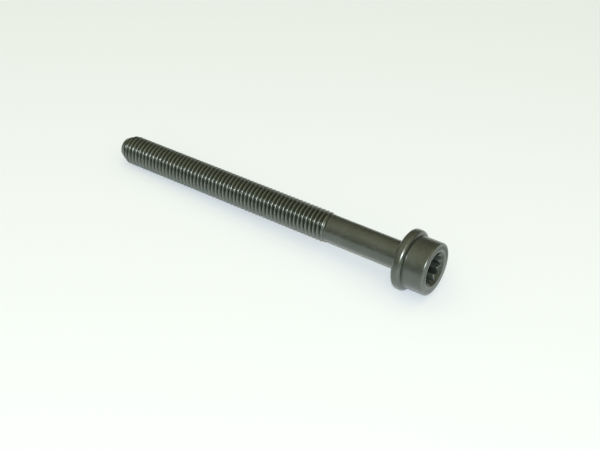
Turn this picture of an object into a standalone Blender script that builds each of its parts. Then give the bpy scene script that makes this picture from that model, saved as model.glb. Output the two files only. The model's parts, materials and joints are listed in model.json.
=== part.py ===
"""Cylinder head bolt, forged and rolled from one piece of steel.

A long rolled thread runs from a coned point to a plain shank, and the shank carries a
round flange, a cylindrical head and a twelve-point socket sunk into the head.

The whole skin is one grid of stations and radii: its columns stand at fixed angles around
the bolt, and its rows run along it, from the middle of the point's end face to the middle
of the socket's floor. On the thread the rows climb by one pitch a turn, so the crest and
the root are true right-hand helices. The bolt then lies as it comes to rest, on the rim of
its flange and on the first full turns of its thread, with +X from the point to the head.
"""

import math

import bmesh
import bpy
import numpy as np

# Facets around the bolt; a flat one lies underneath, and every second corner is a socket point
SOCKET_POINTS = 12
FACETS = 2 * SOCKET_POINTS

# Point: a small end face and a cone that opens to the full thread
POINT_DIAMETER = 0.0064
POINT_LENGTH = 0.00346

# Length from the point's end face to the seat under the flange, and the plain shank in it
BOLT_LENGTH = 0.11284
SHANK_LENGTH = 0.02684
SHANK_DIAMETER = 0.00895
SEAT_FILLET = 0.0008

# Thread: metric coarse, right hand, from the point to the shank; depth and crest by the standard
THREAD_DIAMETER = 0.00985
THREAD_PITCH = 0.0015
THREAD_RUN_OUT = 0.0027
THREAD_DEPTH_PER_PITCH = 0.6134
THREAD_CREST_PER_PITCH = 0.125
THREAD_CREST_STATION = 0.00116

# Head with its flange, from the seat to the end face
HEAD_DIAMETER = 0.0170
HEAD_HEIGHT = 0.01049
HEAD_ROUND = 0.0005
FLANGE_OVERHANG = 0.0014
FLANGE_THICKNESS = 0.00325
FLANGE_LOWER_ROUND = 0.00095
FLANGE_UPPER_ROUND = 0.0012
NECK_FILLET = 0.00045

# Twelve-point socket: three squares turned on one another, with a countersunk mouth
SOCKET_DIAMETER = 0.0109
SOCKET_DEPTH = 0.0070
SOCKET_FLOOR_CONE = 0.0012
COUNTERSINK_WIDTH = 0.00055
COUNTERSINK_HALF_ANGLE = math.radians(45)

# Steps in each rounded edge, and the share of its wall that a rounding may take
ROUND_STEPS = 3
FILLET_STEPS = 2
ROUND_SHARE = 0.9

# How close a row may come to the thread's end, as a share of one facet's climb, and the
# spare turns of rows beyond each end
ROW_MARGIN = 0.3
SPARE_TURNS = 2
WELD_DISTANCE = 1e-6

# Finish: dark phosphated steel
STEEL_COLOUR = (0.082, 0.086, 0.070, 1.0)
STEEL_METALLIC = 0.75
STEEL_ROUGHNESS = 0.42
SHARP_ANGLE = math.radians(32)

# Rounds of levelling after which the bolt's tilt has settled
LEVELLING_ROUNDS = 8

FACET_ANGLE = 2 * math.pi / FACETS
COLUMN_TURNS = (np.arange(FACETS + 1) + 0.5) / FACETS - 0.25


def across_flats(radius):
    """Corner radius of the facets whose flats lie on a circle of this radius."""
    return radius / math.cos(FACET_ANGLE / 2)


def fitted(radius, room):
    """A rounding of this radius, or less where its wall leaves no room for it."""
    return min(radius, ROUND_SHARE * room)


def arc(centre, radius, start, end, steps):
    """(station, radius) points on an arc; the angle runs from +station towards +radius."""
    angles = np.radians(np.linspace(start, end, steps + 1))
    return [
        (centre[0] + radius * math.cos(a), centre[1] + radius * math.sin(a))
        for a in angles
    ]


def turned_rows(profile):
    """Rows of the grid for a turned profile of (station, radius) points."""
    stations, radii = np.array(profile).T
    corners = across_flats(radii)
    columns = np.ones(FACETS + 1)
    return np.outer(stations, columns), np.outer(corners, columns)


def point_rows():
    """The end face of the point, from its middle to its edge."""
    return turned_rows([(0.0, 0.0), (0.0, POINT_DIAMETER / 2)])


def thread_rows():
    """The thread, with its crest cut back by the cone and its depth fading at the run-out.

    Each pitch has three rows: the two edges of the crest and the root between two crests.
    A row past either end of the thread lies on the plain ring that closes it there.
    """
    half_crest = THREAD_CREST_PER_PITCH * THREAD_PITCH / 2
    crest_radius = THREAD_DIAMETER / 2
    root_radius = crest_radius - THREAD_DEPTH_PER_PITCH * THREAD_PITCH
    shank_radius = SHANK_DIAMETER / 2
    point_radius = POINT_DIAMETER / 2
    cone_slope = (crest_radius - point_radius) / POINT_LENGTH
    first = max(root_radius - point_radius, 0.0) / cone_slope
    last = BOLT_LENGTH - SHANK_LENGTH

    row_offsets = np.array([-half_crest, half_crest, THREAD_PITCH / 2])
    row_radii = np.array([crest_radius, crest_radius, root_radius])
    turns = np.arange(-SPARE_TURNS, math.ceil(last / THREAD_PITCH) + SPARE_TURNS)
    nominal = THREAD_CREST_STATION + turns[:, None] * THREAD_PITCH + row_offsets
    climb = THREAD_PITCH * COLUMN_TURNS
    stations = nominal.reshape(-1, 1) + climb
    radii = np.tile(row_radii, len(turns))[:, None] + np.zeros_like(climb)

    fade = np.clip((last - stations) / THREAD_RUN_OUT, 0.0, 1.0)
    radii = shank_radius + (radii - shank_radius) * fade
    radii = np.minimum(radii, point_radius + cone_slope * stations)

    margin = ROW_MARGIN * THREAD_PITCH / FACETS
    before = stations < first + margin
    after = stations > last - margin
    stations = np.where(before, first, np.where(after, last, stations))
    first_radius = point_radius + cone_slope * first
    radii = np.where(before, first_radius, np.where(after, shank_radius, radii))
    return stations, across_flats(radii)


def socket_mouth_radius():
    """Where the countersink meets the head's end face."""
    return SOCKET_DIAMETER / 2 + COUNTERSINK_WIDTH


def head_rows():
    """Shank end, seat, flange, head and end face, in to the mouth of the socket.

    Where the flange's upper round and the fillet at its neck fill its overhang together,
    they meet with one common tangent, and no flat is left between them.
    """
    shank_radius = SHANK_DIAMETER / 2
    head_radius = HEAD_DIAMETER / 2
    flange_radius = head_radius + FLANGE_OVERHANG
    mouth_radius = socket_mouth_radius()
    seat = BOLT_LENGTH
    flange_top = seat + FLANGE_THICKNESS
    end_face = seat + HEAD_HEIGHT

    fillet = fitted(SEAT_FILLET, (flange_radius - shank_radius) / 2)
    lower = fitted(FLANGE_LOWER_ROUND, FLANGE_THICKNESS / 2)
    upper = fitted(FLANGE_UPPER_ROUND, min(FLANGE_OVERHANG, FLANGE_THICKNESS / 2))
    neck = fitted(NECK_FILLET, FLANGE_OVERHANG)
    rim = fitted(HEAD_ROUND, head_radius - mouth_radius)
    overlap = max(upper + neck - FLANGE_OVERHANG, 0.0)
    meeting = math.asin(overlap / (upper + neck))
    neck_station = flange_top - upper + (upper + neck) * math.cos(meeting)
    lean = math.degrees(meeting)

    profile = arc((seat - fillet, shank_radius + fillet), fillet, -90, 0, FILLET_STEPS)
    profile += arc((seat + lower, flange_radius - lower), lower, 180, 90, ROUND_STEPS)
    profile += arc((flange_top - upper, flange_radius - upper), upper, 90, lean, ROUND_STEPS)
    profile += arc((neck_station, head_radius + neck), neck, 180 + lean, 270, FILLET_STEPS)
    profile += arc((end_face - rim, head_radius - rim), rim, 90, 0, ROUND_STEPS)
    profile += [(end_face, mouth_radius)]
    return turned_rows(profile)


def socket_rows():
    """The socket's walls: points and notches alternate from column to column.

    Neighbouring squares cross at the notches. The countersink's cone meets the wall just
    under the mouth at a point, and deeper down at a notch, which stands further in.
    """
    point_radius = SOCKET_DIAMETER / 2
    corner = math.pi / 4
    notch_radius = point_radius * math.cos(corner) / math.cos(corner - math.pi / SOCKET_POINTS)
    is_point = np.arange(FACETS + 1) % 2 == 0
    wall = np.where(is_point, point_radius, notch_radius)
    mouth_radius = across_flats(socket_mouth_radius())
    end_face = BOLT_LENGTH + HEAD_HEIGHT
    floor = end_face - SOCKET_DEPTH
    wall_top = end_face - (mouth_radius - wall) / math.tan(COUNTERSINK_HALF_ANGLE)
    wall_foot = np.full_like(wall, floor)
    stations = np.stack([wall_top, wall_foot, wall_foot - SOCKET_FLOOR_CONE])
    radii = np.stack([wall, wall, np.zeros_like(wall)])
    return stations, radii


def bolt_points():
    """The grid of points on the bolt's skin, in the bolt's own frame, with its axis on X."""
    parts = [point_rows(), thread_rows(), head_rows(), socket_rows()]
    stations = np.concatenate([part[0] for part in parts])
    radii = np.concatenate([part[1] for part in parts])
    angles = 2 * math.pi * COLUMN_TURNS
    return np.stack([stations, radii * np.cos(angles), radii * np.sin(angles)], axis=-1)


def grid_mesh(name, points):
    """A closed mesh from a grid whose first and last columns meet and whose end rows are points."""
    rows, columns = points.shape[:2]
    index = np.arange(rows * columns).reshape(rows, columns)
    corners = [index[:-1, :-1], index[1:, :-1], index[1:, 1:], index[:-1, 1:]]
    faces = np.stack(corners, axis=-1).reshape(-1, 4)
    mesh = bpy.data.meshes.new(name)
    mesh.from_pydata(points.reshape(-1, 3).tolist(), [], faces.tolist())

    shell = bmesh.new()
    shell.from_mesh(mesh)
    bmesh.ops.remove_doubles(shell, verts=shell.verts, dist=WELD_DISTANCE)
    bmesh.ops.recalc_face_normals(shell, faces=shell.faces)
    shell.to_mesh(mesh)
    shell.free()
    mesh.shade_smooth()
    mesh.set_sharp_from_angle(angle=SHARP_ANGLE)
    return mesh


def resting_tilt(points):
    """Angle by which the axis rises towards the head when the bolt lies on a level surface.

    The bolt touches along the lowest line under its side: one contact on the point's half
    and one on the head's half. Levelling these two in turn settles within a few rounds.
    """
    stations = points[..., 0].ravel()
    heights = points[..., 2].ravel()
    near_point = stations < BOLT_LENGTH / 2
    tilt = 0.0
    for _ in range(LEVELLING_ROUNDS):
        drop = heights * math.cos(tilt) + stations * math.sin(tilt)
        tip = np.argmin(np.where(near_point, drop, np.inf))
        rim = np.argmin(np.where(near_point, np.inf, drop))
        tilt = math.atan2(heights[tip] - heights[rim], stations[rim] - stations[tip])
    return tilt


def steel():
    """Dark phosphated steel."""
    material = bpy.data.materials.new("phosphated_steel")
    material.use_nodes = True
    shader = material.node_tree.nodes["Principled BSDF"]
    shader.inputs["Base Color"].default_value = STEEL_COLOUR
    shader.inputs["Metallic"].default_value = STEEL_METALLIC
    shader.inputs["Roughness"].default_value = STEEL_ROUGHNESS
    material.diffuse_color = STEEL_COLOUR
    return material


def lay_down(bolt, points):
    """Tilts the bolt as it rests and centres it over the origin, with its underside at zero."""
    tilt = resting_tilt(points)
    bolt.rotation_euler = (0.0, -tilt, 0.0)
    turned = np.stack(
        [
            points[..., 0] * math.cos(tilt) - points[..., 2] * math.sin(tilt),
            points[..., 1],
            points[..., 0] * math.sin(tilt) + points[..., 2] * math.cos(tilt),
        ],
        axis=-1,
    ).reshape(-1, 3)
    low = turned.min(axis=0)
    middle = (low + turned.max(axis=0)) / 2
    bolt.location = (-middle[0], -middle[1], -low[2])


def main():
    for old in list(bpy.data.objects):
        bpy.data.objects.remove(old, do_unlink=True)
    points = bolt_points()
    bolt = bpy.data.objects.new("head_bolt", grid_mesh("head_bolt", points))
    bolt.data.materials.append(steel())
    bpy.context.scene.collection.objects.link(bolt)
    lay_down(bolt, points)


main()
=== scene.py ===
"""Cylinder head bolt: its fine form and its finish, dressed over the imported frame.

The bolt is one piece of steel, so it is one closed skin here too. Each stretch of it, from the
point to the bottom of the socket, is a class that works out its own patch of the skin: a grid
whose rows run along the bolt and whose columns run around it. The patches follow one another,
and the grid as a whole is laid down where the frame's bolt lies. All lengths are in metres.
"""

import json
import logging
import math
from dataclasses import dataclass, field, fields
from enum import Enum

import bmesh
import bpy
import numpy as np
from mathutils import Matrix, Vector


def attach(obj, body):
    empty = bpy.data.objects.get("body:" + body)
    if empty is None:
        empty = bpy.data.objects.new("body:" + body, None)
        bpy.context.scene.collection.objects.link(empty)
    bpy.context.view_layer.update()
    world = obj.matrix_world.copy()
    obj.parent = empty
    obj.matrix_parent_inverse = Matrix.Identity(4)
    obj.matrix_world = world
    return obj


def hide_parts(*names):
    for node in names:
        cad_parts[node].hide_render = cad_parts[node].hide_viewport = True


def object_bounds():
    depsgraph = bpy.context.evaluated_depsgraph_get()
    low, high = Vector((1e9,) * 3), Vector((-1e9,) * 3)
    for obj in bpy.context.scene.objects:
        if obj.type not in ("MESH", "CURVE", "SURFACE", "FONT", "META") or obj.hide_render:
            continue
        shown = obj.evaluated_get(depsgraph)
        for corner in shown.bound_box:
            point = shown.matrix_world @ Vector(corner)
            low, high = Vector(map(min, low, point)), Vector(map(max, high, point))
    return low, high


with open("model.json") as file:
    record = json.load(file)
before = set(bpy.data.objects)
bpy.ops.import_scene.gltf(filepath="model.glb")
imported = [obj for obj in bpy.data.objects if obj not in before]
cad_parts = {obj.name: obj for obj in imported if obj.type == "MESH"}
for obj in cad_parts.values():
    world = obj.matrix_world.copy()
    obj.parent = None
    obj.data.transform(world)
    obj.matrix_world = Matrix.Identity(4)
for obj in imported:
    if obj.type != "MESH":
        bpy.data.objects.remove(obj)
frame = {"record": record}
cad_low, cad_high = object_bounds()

log = logging.getLogger("head_bolt")

# A colour with its alpha, a place, a node's output, and what a node's input takes
Colour = tuple[float, float, float, float]
Place = tuple[float, float, float]
Output = bpy.types.NodeSocket
Feed = float | tuple[float, ...] | Vector | Output

TURN = 2 * math.pi

# Columns around the bolt: on its threaded part, and twice as many on the head and socket
COLUMNS = 96
HEAD_COLUMNS = 2 * COLUMNS

# The first column lies half a flat from straight down, on a corner of the frame's bolt
CAD_FLATS = 24
FIRST_COLUMN_TURN = 0.5 / CAD_FLATS - 0.25
WELD_DISTANCE = 1e-6

# Painted shade kept on the floor-lit underside, the rest's share at mid height, its gain with
# height
SHADE_BELOW = 0.15
SHADE_AT_MID_HEIGHT = 0.7
SHADE_GAIN_WITH_HEIGHT = 1.4


class Exposure(Enum):
    """How a place is rubbed, given painted shade, or rolled; the value names the skin's attribute.
    """

    RUBBED = "rubbed"
    SHELTERED = "sheltered"
    ROLLED = "rolled"


def column_turns(columns: int) -> np.ndarray:
    """Directions of the columns about the axis, in turns, with the first repeated at the end.

    Args:
        columns: how many columns go once around the bolt.

    Returns:
        One value a column, from the first column's turn to one full turn further.
    """
    return FIRST_COLUMN_TURN + np.arange(columns + 1) / columns


def smooth_step(share: np.ndarray) -> np.ndarray:
    """Three times the share squared less twice its cube: 0 to 1 with level ends."""
    clipped = np.clip(share, 0.0, 1.0)
    return clipped * clipped * (3 - 2 * clipped)


def painted_shade_by_height(turns: np.ndarray) -> np.ndarray:
    """Share of the painted shade in each direction: all above, little on the floor-lit underside.

    The share kept below, plus the rest times a smooth step of the direction's sine.

    Args:
        turns: directions about the axis, in turns.

    Returns:
        A share for each direction.
    """
    rest = smooth_step(SHADE_AT_MID_HEIGHT + SHADE_GAIN_WITH_HEIGHT * np.sin(TURN * turns))
    return SHADE_BELOW + (1 - SHADE_BELOW) * rest


def smooth_min(first: np.ndarray, second: np.ndarray, blend: float) -> np.ndarray:
    """The smaller of two values, with the crease between them rounded off.

    Within the blend's distance of each other, a parabola is taken off the smaller one; where
    they are equal it is a quarter of the blend.

    Args:
        first: one value, as an array.
        second: the other, of the same shape.
        blend: difference at which the rounding starts.

    Returns:
        The rounded minimum, as an array of the same shape.
    """
    nearness = np.clip(1 - np.abs(first - second) / blend, 0.0, 1.0)
    return np.minimum(first, second) - nearness * nearness * blend / 4


def arc(
    centre: tuple[float, float], radius: float, start: float, end: float, steps: int
) -> np.ndarray:
    """Points on an arc of a turned profile.

    The centre plus the radius times the cosine and sine of an angle that runs evenly from
    start to end; the angle is measured from +station towards +radius.

    Args:
        centre: (station, radius) of the arc's centre.
        radius: the arc's own radius.
        start: first angle, in degrees.
        end: last angle, in degrees.
        steps: how many chords the arc is cut into.

    Returns:
        An array of (station, radius) rows.
    """
    angles = np.radians(np.linspace(start, end, steps + 1))
    places = (centre[0] + radius * np.cos(angles), centre[1] + radius * np.sin(angles))
    return np.stack(places, axis=1)


@dataclass
class Patch:
    """A stretch of the skin, as arrays of one shape: rows along the bolt, columns around it.

    Attributes:
        station: distance from the point's end face along the axis.
        radius: distance from the axis.
        angle: direction about the axis in radians, from +Y towards +Z.
        rubbed: 1 where tools and handling rub the coating, 0 where nothing does.
        sheltered: 1 where shade is painted dark into the colour, 0 where none is.
        rolled: 1 where the thread rolls have left the steel smoother, 0 where they haven't.
    """

    station: np.ndarray
    radius: np.ndarray
    angle: np.ndarray
    rubbed: np.ndarray
    sheltered: np.ndarray
    rolled: np.ndarray

    def joined(self, *others: "Patch") -> "Patch":
        """This patch with others of as many columns added after its last row."""
        parts = (self, *others)
        names = [item.name for item in fields(self)]
        return Patch(*(np.concatenate([getattr(part, name) for part in parts]) for name in names))


@dataclass
class Profile:
    """An outline that is turned around the axis, gathered run by run.

    Attributes:
        points: the runs' (station, radius) rows.
        rubbed: how far each point's coating is rubbed.
        sheltered: how much painted shade each point has.
    """

    points: list[np.ndarray] = field(default_factory=list)
    rubbed: list[np.ndarray] = field(default_factory=list)
    sheltered: list[np.ndarray] = field(default_factory=list)

    def add(self, points: np.ndarray, rubbed: float = 0.0, sheltered: float = 0.0) -> None:
        """Adds a run of points.

        Wear and painted shade follow half a sine wave over the run's points.

        Args:
            points: (station, radius) rows.
            rubbed: how far the run's middle is rubbed, fading to its ends.
            sheltered: how much painted shade the run's middle has, fading to its ends.
        """
        count = len(points)
        swell = np.sin(math.pi * (np.arange(count) + 0.5) / count)
        self.points.append(points)
        self.rubbed.append(rubbed * swell)
        self.sheltered.append(np.minimum(sheltered * swell, 1.0))

    def line(self, start: tuple[float, float], end: tuple[float, float], steps: int) -> None:
        """Adds the points inside a straight run, without its two ends."""
        shares = np.linspace(0.0, 1.0, steps + 1)[1:-1, None]
        self.add(np.array(start) + shares * (np.array(end) - np.array(start)))

    def turned(self, turns: np.ndarray, lighter_below: bool = False) -> Patch:
        """Sweeps the outline around the axis, one column for each value of turns.

        Args:
            turns: the columns' directions, in turns.
            lighter_below: whether the painted shade is thinner on the floor-lit underside.

        Returns:
            The swept patch.
        """
        points = np.concatenate(self.points)
        columns = np.ones_like(turns)
        shade_amount = painted_shade_by_height(turns) if lighter_below else columns
        return Patch(
            np.outer(points[:, 0], columns),
            np.outer(points[:, 1], columns),
            np.outer(np.ones(len(points)), TURN * turns),
            np.outer(np.concatenate(self.rubbed), columns),
            np.outer(np.concatenate(self.sheltered), shade_amount),
            np.zeros((len(points), len(turns))),
        )


@dataclass(frozen=True)
class Unevenness:
    """Small irregularity along a line that is rolled or rubbed, the same at each run.

    Attributes:
        seed: start of the random draws.
        slowest, fastest: fewest and most waves in a turn.
        waves: how many waves are added up.
    """

    seed: int
    slowest: float = 0.6
    fastest: float = 26.0
    waves: int = 14

    def along(self, turns: np.ndarray) -> np.ndarray:
        """Sum of sine waves whose lengths and starts are drawn at random, scaled to about 1.

        Args:
            turns: place along the line, in turns about the axis.

        Returns:
            The irregularity at each place, mostly between -1 and 1.
        """
        draw = np.random.default_rng(self.seed)
        spread = np.log([self.slowest, self.fastest])
        rates = np.exp(draw.uniform(spread[0], spread[1], self.waves))
        starts = draw.uniform(0.0, TURN, self.waves)
        total = np.zeros_like(turns)
        for rate, start in zip(rates, starts):
            total += np.sin(TURN * rate * turns + start)
        return total / math.sqrt(self.waves)


@dataclass(frozen=True)
class PointEnd:
    """The point: a small end face with a rounded edge, and the start of the cone behind it.

    Attributes:
        diameter: the end face's, without its rounding.
        cone_length: from the end face's plane to the full thread.
        edge_round: radius of the rounded edge.
        face_rings: where the end face's rows lie, as shares of its radius.
        edge_wear: how far the rounded edge is rubbed.
        edge_steps, cone_steps: rows over the rounded edge and along the plain cone.
    """

    diameter: float = 0.0064
    cone_length: float = 0.00346
    edge_round: float = 0.00045
    face_rings: tuple[float, ...] = (0.0, 0.4, 0.75)
    edge_wear: float = 0.8
    edge_steps: int = 6
    cone_steps: int = 4

    def cone_slope(self, full_radius: float) -> float:
        """Gain in radius for each unit of length along the cone."""
        return (full_radius - self.diameter / 2) / self.cone_length

    def patch(self, turns: np.ndarray, full_radius: float, cone_end: float) -> Patch:
        """Turns the end face, its rounded edge and the plain part of the cone.

        Args:
            turns: the columns' directions, in turns.
            full_radius: radius at which the cone meets the full thread.
            cone_end: station at which the thread takes over from the plain cone.

        Returns:
            The patch from the middle of the end face to the plain cone's end.
        """
        slope = self.cone_slope(full_radius)
        lean = math.atan(slope)
        edge = self.diameter / 2
        setback = self.edge_round * math.tan((math.pi / 2 - lean) / 2)
        centre = (self.edge_round, edge - setback)
        end_angle = 90 + math.degrees(lean)
        profile = Profile()
        profile.add(np.array([[0.0, share * edge] for share in self.face_rings]))
        rounding = arc(centre, self.edge_round, 180, end_angle, self.edge_steps)
        profile.add(rounding, rubbed=self.edge_wear)
        profile.line(tuple(rounding[-1]), (cone_end, edge + slope * cone_end), self.cone_steps)
        return profile.turned(turns)


@dataclass(frozen=True)
class RolledThread:
    """The rolled thread: a right-hand helix with a rounded root and a slightly uneven crest.

    Its crest is cut back by the point's cone, and it fades out into the shank.

    Attributes:
        diameter, pitch: over the crests, and from one crest to the next.
        first_crest: station of the crest that starts at turn 0.
        run_out: length over which it fades out.
        flank_angle: a flank's lean from square to the axis.
        crest_flat, root_round: the flat crest's width and the root's radius, in pitches.
        crest_round: radius of the crest's edges.
        cone_blend: depth over which the cone's cut is rounded.
        crest_waver, crest_drift: how far the crest strays in height and along the axis.
        crest_narrowness: the thread's depth over the depth that counts as the crest.
        arc_points: points on each of the outline's arcs.
        spare_passes: windings beyond either end, to be cut off there.
        end_margin: how near to its ends rows are drawn onto them, in pitches a column.
        flank_dirt, root_dirt: painted shade on the lower flanks, and what the root has besides.
        flank_gain, root_gain: how fast each grows with the depth.
    """

    diameter: float = 0.00985
    pitch: float = 0.0015
    first_crest: float = 0.00116
    run_out: float = 0.0027
    flank_angle: float = math.radians(30)
    crest_flat: float = 0.125
    root_round: float = 0.1443
    crest_round: float = 0.00015
    cone_blend: float = 0.00012
    crest_waver: float = 0.000004
    crest_drift: float = 0.000007
    crest_narrowness: float = 6.0
    arc_points: int = 3
    spare_passes: int = 2
    end_margin: float = 0.3
    flank_dirt: float = 0.68
    flank_gain: float = 3.0
    root_dirt: float = 0.25
    root_gain: float = 2.2

    def depth(self) -> float:
        """Height of the sharp V less what the root's rounding fills."""
        sharp = (0.5 - self.crest_flat / 2) / math.tan(self.flank_angle)
        return self.pitch * (sharp - self.root_round / math.sin(self.flank_angle) + self.root_round)

    def outline(self) -> tuple[np.ndarray, np.ndarray]:
        """One pitch of the thread's outline, from the middle of a crest to the next.

        A flat crest, a small arc that turns through the flank's lean, the straight flank, an
        arc at the root, and the same mirrored.

        Returns:
            Offsets along the axis from the crest's middle, and depths below the crest.
        """
        lean = math.pi / 2 - self.flank_angle
        half_flat = self.crest_flat * self.pitch / 2
        setback = self.crest_round * math.tan(lean / 2)
        crest_angles = np.linspace(0.0, lean, self.arc_points)
        crest_offsets = half_flat - setback + self.crest_round * np.sin(crest_angles)
        crest_depths = self.crest_round * (1 - np.cos(crest_angles))
        root_radius = self.root_round * self.pitch
        root_angles = np.linspace(-lean, 0.0, self.arc_points)
        root_offsets = self.pitch / 2 + root_radius * np.sin(root_angles)
        root_depths = self.depth() - root_radius * (1 - np.cos(root_angles))
        offsets = np.concatenate([crest_offsets, root_offsets])
        depths = np.concatenate([crest_depths, root_depths])
        mirrored = self.pitch - offsets[-2::-1]
        return (
            np.concatenate([[0.0], offsets, mirrored]),
            np.concatenate([[0.0], depths, depths[-2::-1]]),
        )

    def cone_start(self, point: PointEnd) -> float:
        """Station at which the point's cone comes up to the thread's root."""
        root_radius = self.diameter / 2 - self.depth() - self.cone_blend
        return (root_radius - point.diameter / 2) / point.cone_slope(self.diameter / 2)

    def patch(self, turns: np.ndarray, point: PointEnd, shank_radius: float, end: float) -> Patch:
        """Winds the outline around the axis, one pitch further along for each turn.

        Station is the crest's place plus the outline's offset plus the pitch times the turn;
        radius is the crest's less the depth, held under the cone and faded to the shank.

        Args:
            turns: the columns' directions, in turns.
            point: the point whose cone cuts the first turns back.
            shank_radius: radius into which the thread fades.
            end: station at which it has faded out.

        Returns:
            The patch from the plain cone's end to the shank's start.
        """
        offsets, depths = self.outline()
        crest_radius = self.diameter / 2
        start = self.cone_start(point)
        last = math.ceil(end / self.pitch)
        passes = np.arange(-self.spare_passes, last + self.spare_passes)
        shape = (len(passes), len(offsets), len(turns))
        nominal = self.first_crest + self.pitch * passes[:, None] + offsets
        station = nominal[:, :, None] + self.pitch * turns
        radius = np.broadcast_to((crest_radius - depths)[:, None], shape).copy()

        near_crest = smooth_step(1 - self.crest_narrowness * depths / self.depth())[:, None]
        line = passes[:, None, None] + (offsets > self.pitch / 2)[:, None] + turns
        radius += near_crest * self.crest_waver * (Unevenness(seed=5).along(line) - 1)
        station = station + near_crest * self.crest_drift * Unevenness(seed=11).along(line)

        fade = smooth_step((end - station) / self.run_out)
        radius = shank_radius + (radius - shank_radius) * fade
        cone = point.diameter / 2 + point.cone_slope(crest_radius) * station
        full = np.clip((cone - radius) / self.cone_blend, 0.0, 1.0) * fade
        radius = smooth_min(radius, cone, self.cone_blend)

        margin = self.end_margin * self.pitch / COLUMNS
        before = station < start + margin
        after = station > end - margin
        start_radius = point.diameter / 2 + point.cone_slope(crest_radius) * start
        radius = np.where(before, start_radius, np.where(after, shank_radius, radius))
        station = np.where(before, start, np.where(after, end, station))

        # Painted shade: darker down the flanks and in the root, thinner on the floor-lit underside
        share = depths / self.depth()
        on_flank = self.flank_dirt * smooth_step(self.flank_gain * share)
        in_root = self.root_dirt * smooth_step(self.root_gain * share - 1)
        shade_amount = (on_flank + in_root)[:, None] * fade * painted_shade_by_height(turns)
        angle = np.broadcast_to(TURN * turns, shape)
        windings = (station, radius, angle, near_crest * full, shade_amount, fade)
        return Patch(*(values.reshape(-1, len(turns)) for values in windings))


@dataclass(frozen=True)
class Shank:
    """The plain shank between the thread and the seat's fillet."""

    diameter: float = 0.00895
    length: float = 0.02684
    row_spacing: float = 0.0009

    def patch(self, turns: np.ndarray, start: float, end: float) -> Patch:
        """Turns the shank's straight side between two stations.

        Args:
            turns: the columns' directions, in turns.
            start: station at which the thread has faded out.
            end: station at which the seat's fillet starts.

        Returns:
            The patch inside those two stations.
        """
        profile = Profile()
        steps = math.ceil((end - start) / self.row_spacing)
        profile.line((start, self.diameter / 2), (end, self.diameter / 2), steps)
        return profile.turned(turns)


@dataclass(frozen=True)
class FlangedHead:
    """The seat's fillet, the round flange and the cylindrical head with its rounded rim.

    Attributes:
        diameter: the head cylinder's.
        height: from the seat to the end face.
        rim_round: radius of the rounded rim.
        flange_overhang: how far the flange stands out from the head.
        flange_thickness: from the seat to the flange's top.
        lower_round, upper_round: radii of the flange's edge at the seat and of its shoulder.
        neck_fillet, seat_fillet: radii of the fillets at the head's foot and at the seat.
        seat_dirt, neck_dirt: painted shade in those two fillets.
        lower_wear, upper_wear, rim_wear: how far those three roundings are rubbed.
        face_dirt: painted shade on the end face; above 1 it is spread more evenly.
        fillet_steps, round_steps, rim_steps: rows over each fillet and rounding.
        flat_steps, edge_steps, side_steps: rows on each flat, the flange's edge, the cylinder.
    """

    diameter: float = 0.0170
    height: float = 0.01049
    rim_round: float = 0.0005
    flange_overhang: float = 0.0014
    flange_thickness: float = 0.00325
    lower_round: float = 0.00095
    upper_round: float = 0.0012
    neck_fillet: float = 0.00045
    seat_fillet: float = 0.0008
    seat_dirt: float = 0.8
    lower_wear: float = 0.1
    upper_wear: float = 0.25
    neck_dirt: float = 1.0
    rim_wear: float = 0.5
    face_dirt: float = 1.5
    fillet_steps: int = 6
    round_steps: int = 9
    rim_steps: int = 11
    flat_steps: int = 6
    edge_steps: int = 4
    side_steps: int = 10

    def patch(self, turns: np.ndarray, seat: float, shank_radius: float, mouth: float) -> Patch:
        """Turns the outline from the seat's fillet to the edge of the socket's mouth.

        Args:
            turns: the columns' directions, in turns.
            seat: station of the flange's underside.
            shank_radius: radius of the shank that runs into the fillet.
            mouth: radius at which the end face gives way to the socket's mouth.

        Returns:
            The patch over the flange, the head and its end face.
        """
        radius = self.diameter / 2
        flange = radius + self.flange_overhang
        top = seat + self.flange_thickness
        end_face = seat + self.height
        fillet, lower, upper = self.seat_fillet, self.lower_round, self.upper_round
        neck, rim = self.neck_fillet, self.rim_round
        # Where the upper round and the neck's fillet fill the overhang, one runs into the other
        overlap = max(upper + neck - self.flange_overhang, 0.0)
        meeting = math.asin(overlap / (upper + neck))
        neck_station = top - upper + (upper + neck) * math.cos(meeting)
        lean = math.degrees(meeting)

        seat_arc = arc((seat - fillet, shank_radius + fillet), fillet, -90, 0, self.fillet_steps)
        lower_arc = arc((seat + lower, flange - lower), lower, 180, 90, self.round_steps)
        upper_arc = arc((top - upper, flange - upper), upper, 90, lean, self.round_steps)
        neck_arc = arc((neck_station, radius + neck), neck, 180 + lean, 270, self.fillet_steps)
        rim_arc = arc((end_face - rim, radius - rim), rim, 90, 0, self.rim_steps)
        face = np.linspace((end_face, radius - rim), (end_face, mouth), self.flat_steps)

        profile = Profile()
        # Painted shade in the fillets and on the end face, thinner on the floor-lit underside
        profile.add(seat_arc, sheltered=self.seat_dirt)
        profile.line((seat, shank_radius + fillet), (seat, flange - lower), self.flat_steps)
        profile.add(lower_arc, rubbed=self.lower_wear)
        profile.line((seat + lower, flange), (top - upper, flange), self.edge_steps)
        profile.add(upper_arc[:-1], rubbed=self.upper_wear)
        profile.add(neck_arc, sheltered=self.neck_dirt)
        profile.line((neck_station, radius), (end_face - rim, radius), self.side_steps)
        profile.add(rim_arc, rubbed=self.rim_wear)
        profile.add(face[1:-1], sheltered=self.face_dirt)
        return profile.turned(turns, lighter_below=True)


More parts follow.
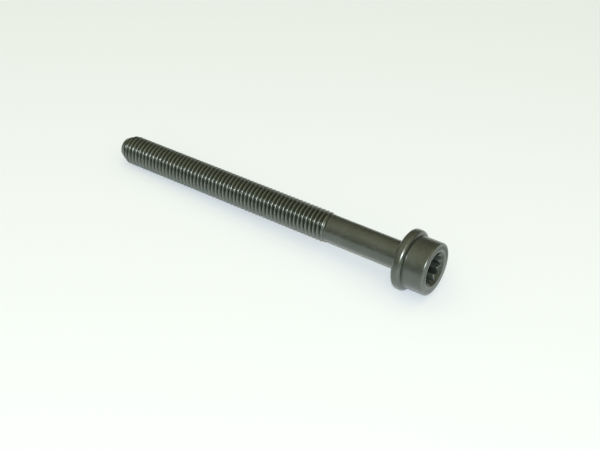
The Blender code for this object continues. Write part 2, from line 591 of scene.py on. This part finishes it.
@dataclass(frozen=True)
class Socket:
    """The twelve-point socket: three squares turned on one another, with a countersunk mouth.

    Attributes:
        points, diameter: how many points it has, and how wide it is across them.
        depth: from the end face to the floor's edge.
        floor_cone: how much deeper the floor's middle lies.
        floor_fillet: radius of the fillet at the floor.
        countersink_width: from the points out to the mouth.
        countersink_half_angle: between the countersink and the axis.
        mouth_round, edge_round: radii of the countersink's edges, at end face and wall.
        corner_softness: how rounded points and notches are.
        crowding: how far the columns crowd towards them, from 0 to 1.
        mouth_steps, wall_steps: rows over the mouth's edge and down the wall.
        floor_rings: where the floor's rows lie, as shares of its radius.
        ridge_wear, lip_wear: how far the notches' ridges and the mouth's edge are rubbed.
        ridge_narrowness: how fast the ridges' wear starts, downwards and across.
        mouth_dirt, deep_dirt, point_dirt: painted shade overall, deeper in, in points there.
        dirt_gain: how fast it grows with the depth, and towards a point.
    """

    points: int = 12
    diameter: float = 0.0109
    depth: float = 0.0070
    floor_cone: float = 0.0012
    floor_fillet: float = 0.0003
    countersink_width: float = 0.00055
    countersink_half_angle: float = math.radians(45)
    mouth_round: float = 0.00014
    edge_round: float = 0.00009
    corner_softness: float = 0.016
    crowding: float = 0.72
    mouth_steps: int = 4
    wall_steps: int = 8
    floor_rings: tuple[float, ...] = (0.7, 0.4, 0.15, 0.0)
    ridge_wear: float = 0.8
    ridge_narrowness: float = 4.0
    lip_wear: float = 0.6
    mouth_dirt: float = 0.3
    deep_dirt: float = 0.1
    point_dirt: float = 0.8
    dirt_gain: float = 1.6

    def mouth_radius(self) -> float:
        """Radius at which the countersink meets the head's end face."""
        return self.diameter / 2 + self.countersink_width

    def mouth_setback(self) -> float:
        """How far outside the mouth its rounding starts on the end face."""
        return self.mouth_round * math.tan((math.pi / 2 - self.countersink_half_angle) / 2)

    def wave(self, angle: np.ndarray) -> np.ndarray:
        """Turn from the nearest point, from 0 at a point to pi at a notch, with soft ends.

        The arc cosine of a cosine that is held a little short of one.
        """
        return np.arccos((1 - self.corner_softness) * np.cos(self.points * angle))

    def wall(self, wave: np.ndarray) -> np.ndarray:
        """Radius of the walls, which are straight sides of squares.

        The point's radius times the cosine of half a right angle, over the cosine of the same
        angle less the turn from the point.

        Args:
            wave: turn from the nearest point, as method wave gives it.

        Returns:
            The wall's radius for each turn.
        """
        corner = math.pi / 4
        return self.diameter / 2 * math.cos(corner) / np.cos(corner - wave / self.points)

    def patch(self, turns: np.ndarray, end_face: float) -> Patch:
        """The mouth's edge, the countersink, the walls with their points, and the floor.

        The columns crowd towards the points and notches, by a sine of twice their phase. The
        countersink's cone meets the wall deeper down where the wall stands further in, and
        that edge is a small arc: its middle lies off the sharp corner by the arc's reach
        times the tangent of a quarter of the turn between cone and wall.

        Args:
            turns: the columns' directions, in turns; the first lies on a point.
            end_face: station of the head's end face.

        Returns:
            The patch from the mouth's edge to the middle of the floor.
        """
        even = TURN * turns
        from_point = even - even[0]
        pull = self.crowding / (2 * self.points) * np.sin(2 * self.points * from_point)
        wave = self.wave(from_point - pull)
        wall = self.wall(wave)
        slope = 1 / math.tan(self.countersink_half_angle)
        mouth = self.mouth_radius()
        wall_top = end_face - (mouth - wall) * slope
        floor = end_face - self.depth

        mouth_centre = (end_face - self.mouth_round, mouth + self.mouth_setback())
        cone_normal = -90 + math.degrees(self.countersink_half_angle)
        mouth_arc = arc(mouth_centre, self.mouth_round, 0, cone_normal, self.mouth_steps)
        mouth_rows = mouth_arc[:, :, None] * np.ones_like(even)

        half_turn = self.countersink_half_angle / 2
        reach = self.edge_round / math.sin(self.countersink_half_angle)
        sag = reach * math.tan(half_turn / 2)
        edge_rise = [[self.edge_round * slope], [-sag * math.sin(half_turn)], [-reach]]
        edge_station = wall_top + np.array(edge_rise)
        edge_radius = wall + np.array([[self.edge_round], [sag * math.cos(half_turn)], [0.0]])

        thirds = np.array([[1 / 3], [2 / 3]])
        cone_radius = mouth_arc[-1, 1] + thirds * (edge_radius[0] - mouth_arc[-1, 1])
        cone_station = end_face - (mouth - cone_radius) * slope

        down = np.linspace(0.0, 1.0, self.wall_steps + 1)[1:, None]
        wall_foot = floor + self.floor_fillet
        wall_station = edge_station[-1] + down * (wall_foot - edge_station[-1])
        wall_radius = wall * np.ones_like(down)

        half_way = math.sqrt(0.5)
        fillet_station = wall_foot - self.floor_fillet * np.array([[half_way], [1.0]])
        fillet_radius = wall - self.floor_fillet * np.array([[1 - half_way], [1.0]])
        inward = np.array(self.floor_rings)[:, None]
        floor_station = floor - self.floor_cone * (1 - inward) * np.ones_like(even)
        floor_radius = inward * fillet_radius[-1]

        station = np.vstack([
            mouth_rows[:, 0], cone_station, edge_station, wall_station,
            fillet_station * np.ones_like(even), floor_station,
        ])
        radius = np.vstack([
            mouth_rows[:, 1], cone_radius, edge_radius, wall_radius, fillet_radius, floor_radius,
        ])
        gathered = smooth_step((mouth_arc[-1, 1] - radius) / (mouth_arc[-1, 1] - edge_radius[0]))
        angle = even - pull * np.where(station < wall_top, 1.0, gathered)

        # Painted shade: darker further into the socket and into its points
        sunk = np.clip((end_face - station) / self.depth, 0.0, 1.0)
        narrow = self.ridge_narrowness
        on_ridge = smooth_step(narrow * wave / math.pi - (narrow - 1))
        ridge = on_ridge * smooth_step(narrow * sunk) * (1 - sunk)
        lip = np.exp(-((station - end_face) / self.mouth_round) ** 2)
        rubbed = self.ridge_wear * ridge + self.lip_wear * lip
        inside = smooth_step(self.dirt_gain * sunk)
        in_point = smooth_step(1 - self.dirt_gain * wave / math.pi)
        shade_amount = self.mouth_dirt + inside * (self.deep_dirt + self.point_dirt * in_point)
        clean = np.zeros_like(station)
        return Patch(
            station, radius, angle, np.clip(rubbed, 0.0, 1.0), np.clip(shade_amount, 0.0, 1.0), clean
        )


@dataclass(frozen=True)
class Resting:
    """How the bolt lies in the frame.

    Attributes:
        rise: angle by which its axis rises towards the head.
        along: place of the point's end face on the frame's X, on the axis.
        height: height of that place in the frame.
    """

    rise: float
    along: float
    height: float

    @classmethod
    def in_frame(cls, record: dict, floor: float, skin: Patch, end_face: float) -> "Resting":
        """Finds how the frame's bolt lies from its end face's mount and its lowest corner.

        The mount's axis gives the rise, the skin's lowest place touches the floor, and the
        end face lies in the mount's plane.

        Args:
            record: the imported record.
            floor: height of the frame's lowest corner.
            skin: a patch that holds the bolt's lowest place.
            end_face: station of the head's end face.

        Returns:
            The bolt's lie.
        """
        mount = next(m for m in record["mounts"] if m["name"] == "head_end_face")
        axis, on_plane = np.array(mount["axis"]), np.array(mount["pos_m"])
        rise = math.atan2(axis[2], axis[0])
        drop = skin.station * math.sin(rise) + skin.radius * np.sin(skin.angle) * math.cos(rise)
        height = floor - drop.min()
        along = (on_plane @ axis - end_face - height * axis[2]) / axis[0]
        return cls(rise, float(along), float(height))

    def laid(self, skin: Patch) -> np.ndarray:
        """Places of a patch's vertices in the frame.

        Args:
            skin: the patch, in the bolt's own measures.

        Returns:
            An array of rows, columns and the three coordinates.
        """
        across, up = skin.radius * np.cos(skin.angle), skin.radius * np.sin(skin.angle)
        cosine, sine = math.cos(self.rise), math.sin(self.rise)
        along = self.along + skin.station * cosine - up * sine
        height = self.height + skin.station * sine + up * cosine
        return np.stack([along, across, height], axis=-1)


class Graph:
    """Short words for laying out a node tree."""

    NOISE_ROUGHNESS = 0.55

    def __init__(self, tree: bpy.types.NodeTree) -> None:
        """Empties the tree and keeps it."""
        self.tree = tree
        tree.nodes.clear()

    def node(self, kind: str, inputs: dict | None = None, **settings: str) -> bpy.types.Node:
        """Adds a node.

        Args:
            kind: the node's type name.
            inputs: what each input gets, by its name or number.
            settings: the node's own properties.

        Returns:
            The new node.
        """
        made = self.tree.nodes.new(kind)
        for name, value in settings.items():
            setattr(made, name, value)
        for name, value in (inputs or {}).items():
            if isinstance(value, Output):
                self.tree.links.new(value, made.inputs[name])
            else:
                made.inputs[name].default_value = value
        return made

    def noise(self, where: Feed, size: float, detail: float) -> Output:
        """Cloudy noise whose patches are about size across, in metres."""
        inputs = {"Vector": where, "Scale": 1 / size, "Detail": detail}
        inputs["Roughness"] = self.NOISE_ROUGHNESS
        return self.node("ShaderNodeTexNoise", inputs).outputs["Fac"]

    def exposure(self, kind: Exposure) -> Output:
        """How far a place on the skin is rubbed, darkened as painted shade, or rolled."""
        return self.node("ShaderNodeAttribute", attribute_name=kind.value).outputs["Fac"]

    def math(self, operation: str, first: Feed, second: Feed) -> Output:
        """One sum, product or other operation on two numbers."""
        return self.node("ShaderNodeMath", {0: first, 1: second}, operation=operation).outputs[0]

    def scaled(self, value: Feed, factor: Feed) -> Output:
        """A value times a factor."""
        return self.math("MULTIPLY", value, factor)

    def span(self, value: Feed, given: tuple[float, float], wanted: tuple[float, float]) -> Output:
        """Maps the given range to the wanted one, held at both ends."""
        inputs = {"Value": value, "From Min": given[0], "From Max": given[1]}
        inputs |= {"To Min": wanted[0], "To Max": wanted[1]}
        return self.node("ShaderNodeMapRange", inputs).outputs["Result"]

    def blend(self, share: Feed, first: Feed, second: Feed) -> Output:
        """Mixes two colours: the first where share is 0, the second where it is 1."""
        # The mix node's colours are its inputs 6 and 7 and its output 2
        inputs = {0: share, 6: first, 7: second}
        return self.node("ShaderNodeMix", inputs, data_type="RGBA").outputs[2]


@dataclass(frozen=True)
class PhosphatedSteel:
    """Dark phosphated steel with a thin film of oil.

    The coating drifts between two dark tones over some millimetres and is mottled more finely,
    painted shade darkens hollows and the end face, and handling bares a paler tone where rubbed.

    Attributes:
        olive, grey, grime, bared: the two tones, the painted shade's, and the bared one.
        metallic: how metallic the finish is.
        drift, mottle, grain: how wide each noise's patches are, and its detail.
        cloud, wide_cloud: noise values between which tone and wear, and roughness, change.
        drift_share, grain_share: their parts of tone and relief; mottling has the rest.
        dirt_cover: how far the painted shade's tone covers the coating.
        wear_cover: how far the bared tone covers a rubbed place, least and most.
        roughness, rolled_roughness: least and most, for the coating and where it is rolled.
        polish, dulling: roughness that rubbing takes away, and that painted shade adds.
        relief, bump_height: the relief's strength, untouched and rubbed, and its height.
        coat, coat_roughness, coat_ior: the oil film's weight, roughness and refractive index.
    """

    olive: Colour = (0.086, 0.098, 0.083, 1.0)
    grey: Colour = (0.124, 0.140, 0.134, 1.0)
    grime: Colour = (0.018, 0.026, 0.015, 1.0)
    bared: Colour = (0.218, 0.240, 0.212, 1.0)
    metallic: float = 0.85
    drift: tuple[float, float] = (0.009, 3.0)
    mottle: tuple[float, float] = (0.0009, 4.0)
    grain: tuple[float, float] = (0.00014, 3.0)
    cloud: tuple[float, float] = (0.35, 0.65)
    wide_cloud: tuple[float, float] = (0.3, 0.7)
    drift_share: float = 0.6
    dirt_cover: float = 0.95
    wear_cover: tuple[float, float] = (0.7, 1.0)
    roughness: tuple[float, float] = (0.34, 0.43)
    rolled_roughness: tuple[float, float] = (0.28, 0.36)
    polish: float = 0.15
    dulling: float = 0.22
    grain_share: float = 0.6
    relief: tuple[float, float] = (1.0, 0.2)
    bump_height: float = 0.000006
    coat: float = 0.6
    coat_roughness: float = 0.24
    coat_ior: float = 1.45

    def material(self) -> bpy.types.Material:
        """Builds the finish as nodes on the object's own coordinates."""
        material = bpy.data.materials.new("phosphated_steel")
        material.use_nodes = True
        graph = Graph(material.node_tree)
        where = graph.node("ShaderNodeTexCoord").outputs["Object"]
        drift, mottle, grain = (
            graph.noise(where, *kind) for kind in (self.drift, self.mottle, self.grain)
        )
        rubbed, sheltered, rolled = (graph.exposure(kind) for kind in Exposure)

        drifted = graph.span(drift, self.cloud, (0.0, self.drift_share))
        mottled = graph.span(mottle, self.cloud, (0.0, 1 - self.drift_share))
        colour = graph.blend(graph.math("ADD", drifted, mottled), self.olive, self.grey)
        # Painted shade: hollows and the end face darken towards a dark tone
        colour = graph.blend(graph.scaled(sheltered, self.dirt_cover), colour, self.grime)
        worn = graph.scaled(rubbed, graph.span(mottle, self.cloud, self.wear_cover))
        colour = graph.blend(worn, colour, self.bared)

        rough = graph.span(mottle, self.wide_cloud, self.roughness)
        rough = graph.math("SUBTRACT", rough, graph.scaled(worn, self.polish))
        rough = graph.math("ADD", rough, graph.scaled(sheltered, self.dulling))
        as_rolled = graph.span(mottle, self.wide_cloud, self.rolled_roughness)
        change = graph.math("SUBTRACT", as_rolled, rough)
        rough = graph.math("ADD", rough, graph.scaled(change, rolled))

        grained = graph.scaled(grain, self.grain_share)
        relief = graph.math("ADD", grained, graph.scaled(mottle, 1 - self.grain_share))
        strength = graph.span(rubbed, (0.0, 1.0), self.relief)
        bump_inputs = {"Height": relief, "Strength": strength, "Distance": self.bump_height}
        bump = graph.node("ShaderNodeBump", bump_inputs)

        inputs = {
            "Base Color": colour,
            "Metallic": self.metallic,
            "Roughness": rough,
            "Normal": bump.outputs["Normal"],
            "Coat Weight": self.coat,
            "Coat Roughness": self.coat_roughness,
            "Coat IOR": self.coat_ior,
        }
        shader = graph.node("ShaderNodeBsdfPrincipled", inputs)
        graph.node("ShaderNodeOutputMaterial", {"Surface": shader.outputs["BSDF"]})
        material.diffuse_color = self.olive
        return material


@dataclass(frozen=True)
class PaleCard:
    """The smooth pale surface that the bolt lies on."""

    colour: Colour = (0.845, 0.882, 0.936, 1.0)
    roughness: float = 0.85
    specular: float = 0.2

    def material(self) -> bpy.types.Material:
        """Builds the finish."""
        material = bpy.data.materials.new("pale_card")
        material.use_nodes = True
        graph = Graph(material.node_tree)
        inputs = {"Base Color": self.colour, "Roughness": self.roughness}
        inputs["Specular IOR Level"] = self.specular
        shader = graph.node("ShaderNodeBsdfPrincipled", inputs)
        graph.node("ShaderNodeOutputMaterial", {"Surface": shader.outputs["BSDF"]})
        return material


@dataclass(frozen=True)
class HeadBolt:
    """The whole bolt, from the point to the bottom of the socket, as one closed skin."""

    length: float = 0.11284
    point: PointEnd = PointEnd()
    thread: RolledThread = RolledThread()
    shank: Shank = Shank()
    head: FlangedHead = FlangedHead()
    socket: Socket = Socket()
    finish: PhosphatedSteel = PhosphatedSteel()

    def end_face(self) -> float:
        """Station of the head's end face."""
        return self.length + self.head.height

    def threaded_half(self) -> Patch:
        """The point, the thread and the shank, on the coarser columns."""
        turns = column_turns(COLUMNS)
        shank_radius = self.shank.diameter / 2
        cone_end = self.thread.cone_start(self.point)
        thread_end = self.length - self.shank.length
        return self.point.patch(turns, self.thread.diameter / 2, cone_end).joined(
            self.thread.patch(turns, self.point, shank_radius, thread_end),
            self.shank.patch(turns, thread_end, self.length - self.head.seat_fillet),
        )

    def headed_half(self) -> Patch:
        """The flange, the head and the socket, on the finer columns."""
        turns = column_turns(HEAD_COLUMNS)
        mouth = self.socket.mouth_radius() + self.socket.mouth_setback()
        head = self.head.patch(turns, self.length, self.shank.diameter / 2, mouth)
        return head.joined(self.socket.patch(turns, self.end_face()))

    def build(self, record: dict, floor: float) -> bpy.types.Object:
        """Builds the skin where the frame's bolt lies, and dresses it.

        Args:
            record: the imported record.
            floor: height of the surface that the bolt lies on.

        Returns:
            The finished piece.
        """
        threaded, headed = self.threaded_half(), self.headed_half()
        resting = Resting.in_frame(record, floor, headed, self.end_face())
        place = (math.degrees(resting.rise), resting.along, resting.height)
        log.info("axis rises %.3f degrees from %.6f, %.6f", *place)
        mesh = skin_mesh("cylinder_head_bolt", (threaded, headed), resting)
        piece = bpy.data.objects.new("cylinder_head_bolt", mesh)
        bpy.context.scene.collection.objects.link(piece)
        mesh.materials.append(self.finish.material())
        return piece


def grid_faces(index: np.ndarray) -> np.ndarray:
    """Quads between neighbouring rows and columns of a grid of vertex numbers."""
    corners = [index[:-1, :-1], index[1:, :-1], index[1:, 1:], index[:-1, 1:]]
    return np.stack(corners, axis=-1).reshape(-1, 4)


def stitch_faces(coarse: np.ndarray, fine: np.ndarray) -> np.ndarray:
    """Triangles between a row of vertices and a row of twice as many columns.

    Each coarse span faces two fine ones: two triangles stand on the fine side's spans and one
    on the coarse side's span.

    Args:
        coarse: vertex numbers of the coarser row.
        fine: vertex numbers of the finer row.

    Returns:
        Three vertex numbers for each triangle.
    """
    near, far = coarse[:-1], coarse[1:]
    first, middle, last = fine[:-2:2], fine[1:-1:2], fine[2::2]
    triangles = [(near, first, middle), (near, middle, far), (far, middle, last)]
    return np.concatenate([np.stack(corners, axis=-1) for corners in triangles])


def skin_mesh(name: str, halves: tuple[Patch, Patch], resting: Resting) -> bpy.types.Mesh:
    """Makes one closed mesh of the coarser and the finer half.

    Args:
        name: the mesh's name.
        halves: the threaded half and the headed half.
        resting: how the bolt lies in the frame.

    Returns:
        The mesh, in the frame's coordinates, with its normals outward and its seams closed.
    """
    counts = [half.station.size for half in halves]
    index = np.split(np.arange(sum(counts)), [counts[0]])
    index = [numbers.reshape(half.station.shape) for numbers, half in zip(index, halves)]
    quads = np.concatenate([grid_faces(numbers) for numbers in index])
    triangles = stitch_faces(index[0][-1], index[1][0])
    points = np.concatenate([resting.laid(half).reshape(-1, 3) for half in halves])

    mesh = bpy.data.meshes.new(name)
    mesh.from_pydata(points.tolist(), [], quads.tolist() + triangles.tolist())
    for kind in Exposure:
        values = np.concatenate([getattr(half, kind.value).ravel() for half in halves])
        layer = mesh.attributes.new(kind.value, "FLOAT", "POINT")
        layer.data.foreach_set("value", values.astype(np.float32))

    shell = bmesh.new()
    shell.from_mesh(mesh)
    bmesh.ops.remove_doubles(shell, verts=shell.verts, dist=WELD_DISTANCE)
    bmesh.ops.recalc_face_normals(shell, faces=shell.faces)
    open_edges = sum(not edge.is_manifold for edge in shell.edges)
    shell.to_mesh(mesh)
    shell.free()
    mesh.shade_smooth()
    log.info("%s: %d faces, %d open edges", name, len(mesh.polygons), open_edges)
    return mesh


def towards(azimuth: float, elevation: float) -> Vector:
    """Unit vector in a direction; azimuth 0 is -Y, 90 is +X, and both are in degrees."""
    turn, climb = math.radians(azimuth), math.radians(elevation)
    level = math.cos(climb)
    return Vector((math.sin(turn) * level, -math.cos(turn) * level, math.sin(climb)))


def stand(item: bpy.types.Object, aim: Place, distance: float, back: Vector) -> None:
    """Stands an object off its aim, along unit vector back, and turns it to face the aim."""
    item.location = Vector(aim) + distance * back
    item.rotation_euler = back.to_track_quat("Z", "Y").to_euler()
    bpy.context.scene.collection.objects.link(item)


@dataclass(frozen=True)
class Lamp:
    """A round soft lamp, aimed at the bolt.

    Attributes:
        azimuth, elevation: where it stands from its aim, as function towards has them.
        distance: how far away it stands.
        diameter, watts, colour: how wide its disk is, its power and its colour.
        aim: the place that it faces.
    """

    azimuth: float = 29.5
    elevation: float = 44.7
    distance: float = 1.50
    diameter: float = 0.095
    watts: float = 19.9
    colour: tuple[float, float, float] = (0.94, 1.0, 1.06)
    aim: Place = (0.0, 0.0, 0.008)

    def hang(self) -> None:
        """Hangs the lamp and turns it to its aim."""
        light = bpy.data.lights.new("lamp_by_the_camera", "AREA")
        light.shape = "DISK"
        light.size = self.diameter
        light.energy = self.watts
        light.color = self.colour
        lamp = bpy.data.objects.new(light.name, light)
        stand(lamp, self.aim, self.distance, towards(self.azimuth, self.elevation))


@dataclass(frozen=True)
class Studio:
    """The pale floor, the lamp, the surrounding light and the camera.

    Attributes:
        floor_size, card: the floor's width and length, and its finish.
        lamp: its lamp.
        camera_aim: the place that the camera faces.
        camera_azimuth, camera_elevation, camera_distance: where it stands, seen from there.
        lens, near_clip: its focal length in millimetres, and where its view starts.
        bright_azimuth, bright_elevation: where the surround is brightest.
        narrowing: power that narrows the bright part.
        bright, dim: the surround's colour there, and a quarter turn or more away.
    """

    floor_size: float = 6.0
    card: PaleCard = PaleCard()
    lamp: Lamp = Lamp()
    camera_aim: Place = (0.01491, -0.00508, 0.00934)
    camera_azimuth: float = 34.04
    camera_elevation: float = 41.05
    camera_distance: float = 0.400
    lens: float = 75.04
    near_clip: float = 0.01
    bright_azimuth: float = 34.0
    bright_elevation: float = 78.0
    narrowing: float = 1.8
    bright: Colour = (0.83, 0.78, 0.49, 1.0)
    dim: Colour = (0.125, 0.125, 0.08, 1.0)

    def lay_floor(self, height: float) -> None:
        """Lays a wide level plane under the bolt."""
        half = self.floor_size / 2
        sides = ((-1, -1), (1, -1), (1, 1), (-1, 1))
        corners = [(half * x, half * y, height) for x, y in sides]
        mesh = bpy.data.meshes.new("floor")
        mesh.from_pydata(corners, [], [(0, 1, 2, 3)])
        mesh.materials.append(self.card.material())
        floor = bpy.data.objects.new("floor", mesh)
        bpy.context.scene.collection.objects.link(floor)

    def surround(self) -> None:
        """Lights the scene from all around, most from the bright direction.

        The share of the bright colour is the cosine of the angle from there, to a power.
        """
        world = bpy.data.worlds.new("surround")
        world.use_nodes = True
        graph = Graph(world.node_tree)
        direction = graph.node("ShaderNodeTexCoord").outputs["Generated"]
        bright = towards(self.bright_azimuth, self.bright_elevation)
        dot = graph.node("ShaderNodeVectorMath", {0: direction, 1: bright}, operation="DOT_PRODUCT")
        facing = graph.span(dot.outputs["Value"], (0.0, 1.0), (0.0, 1.0))
        share = graph.math("POWER", facing, self.narrowing)
        colour = graph.blend(share, self.dim, self.bright)
        light = graph.node("ShaderNodeBackground", {"Color": colour, "Strength": 1.0})
        graph.node("ShaderNodeOutputWorld", {"Surface": light.outputs["Background"]})
        bpy.context.scene.world = world

    def set_camera(self) -> None:
        """Stands the camera at the photograph's viewing angle."""
        optics = bpy.data.cameras.new("camera")
        optics.lens = self.lens
        optics.clip_start = self.near_clip
        camera = bpy.data.objects.new("camera", optics)
        back = towards(self.camera_azimuth, self.camera_elevation)
        stand(camera, self.camera_aim, self.camera_distance, back)
        bpy.context.scene.camera = camera

    def set_up(self, floor: float) -> None:
        """Sets up the floor at its height, the light and the camera."""
        self.lay_floor(floor)
        self.surround()
        self.lamp.hang()
        self.set_camera()
        bpy.context.scene.view_settings.view_transform = "Standard"


def main() -> None:
    """Builds the bolt and its studio."""
    logging.basicConfig(level=logging.INFO, format="%(name)s: %(message)s")
    piece = HeadBolt().build(frame["record"], cad_low.z)
    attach(piece, "root")
    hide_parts("head_bolt")
    log.info("%s rides on root and stands for head_bolt", piece.name)
    Studio().set_up(cad_low.z)


if __name__ == "__main__":
    main()
